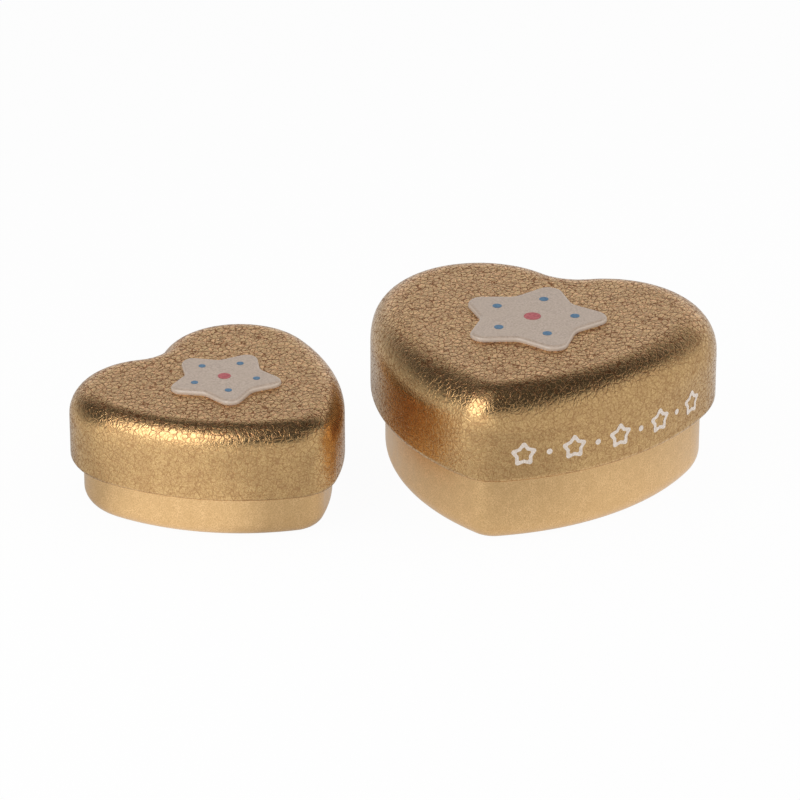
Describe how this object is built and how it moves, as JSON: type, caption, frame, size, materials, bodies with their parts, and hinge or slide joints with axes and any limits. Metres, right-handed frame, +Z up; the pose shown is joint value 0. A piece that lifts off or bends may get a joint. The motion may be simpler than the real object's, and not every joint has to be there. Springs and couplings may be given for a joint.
{
  "type": "baby tooth box",
  "caption": "Heart-shaped gold tinplate keepsake tins for baby teeth, a large one and a small one, each with a rounded slip lid that lifts off and a raised enamel star.",
  "frame": {"origin": "middle of the underside of the large tin, on the surface that it stands on", "axes": "+Z up; the large heart is symmetrical about the YZ plane, its cleft towards +Y and its tip towards -Y; the small tin stands beside it towards -X"},
  "size_m": [0.1206, 0.0817, 0.034],
  "materials": {
    "satin_gold_tinplate": "tinplate with a smooth satin gold lacquer",
    "crackle_gold_tinplate": "tinplate with a gold lacquer that is crazed into a fine crackle",
    "cream_enamel": "warm grey cream enamel print, satin, faintly grainy",
    "blue_print": "dusty blue print",
    "rose_print": "dusty pink print",
    "white_print": "off-white print"
  },
  "bodies": {
    "large_tin": {"large_base": "satin_gold_tinplate"},
    "large_cover": {"large_lid": "crackle_gold_tinplate", "large_star_enamel": "cream_enamel", "large_star_dots": "blue_print", "large_star_middle": "rose_print", "large_skirt_row": "white_print"},
    "small_tin": {"small_base": "satin_gold_tinplate"},
    "small_cover": {"small_lid": "crackle_gold_tinplate", "small_star_enamel": "cream_enamel", "small_star_dots": "blue_print", "small_star_middle": "rose_print"}
  },
  "joints": [
    {"name": "large_lid_lift", "type": "slide", "parent": "large_tin", "child": "large_cover", "axis": [0, 0, 1], "range_m": [0, 0.06]},
    {"name": "small_tin_lift", "type": "slide", "parent": "large_tin", "child": "small_tin", "axis": [0, 0, 1], "range_m": [0, 0.06]},
    {"name": "small_lid_lift", "type": "slide", "parent": "small_tin", "child": "small_cover", "axis": [0, 0, 1], "range_m": [0, 0.045]}
  ]
}
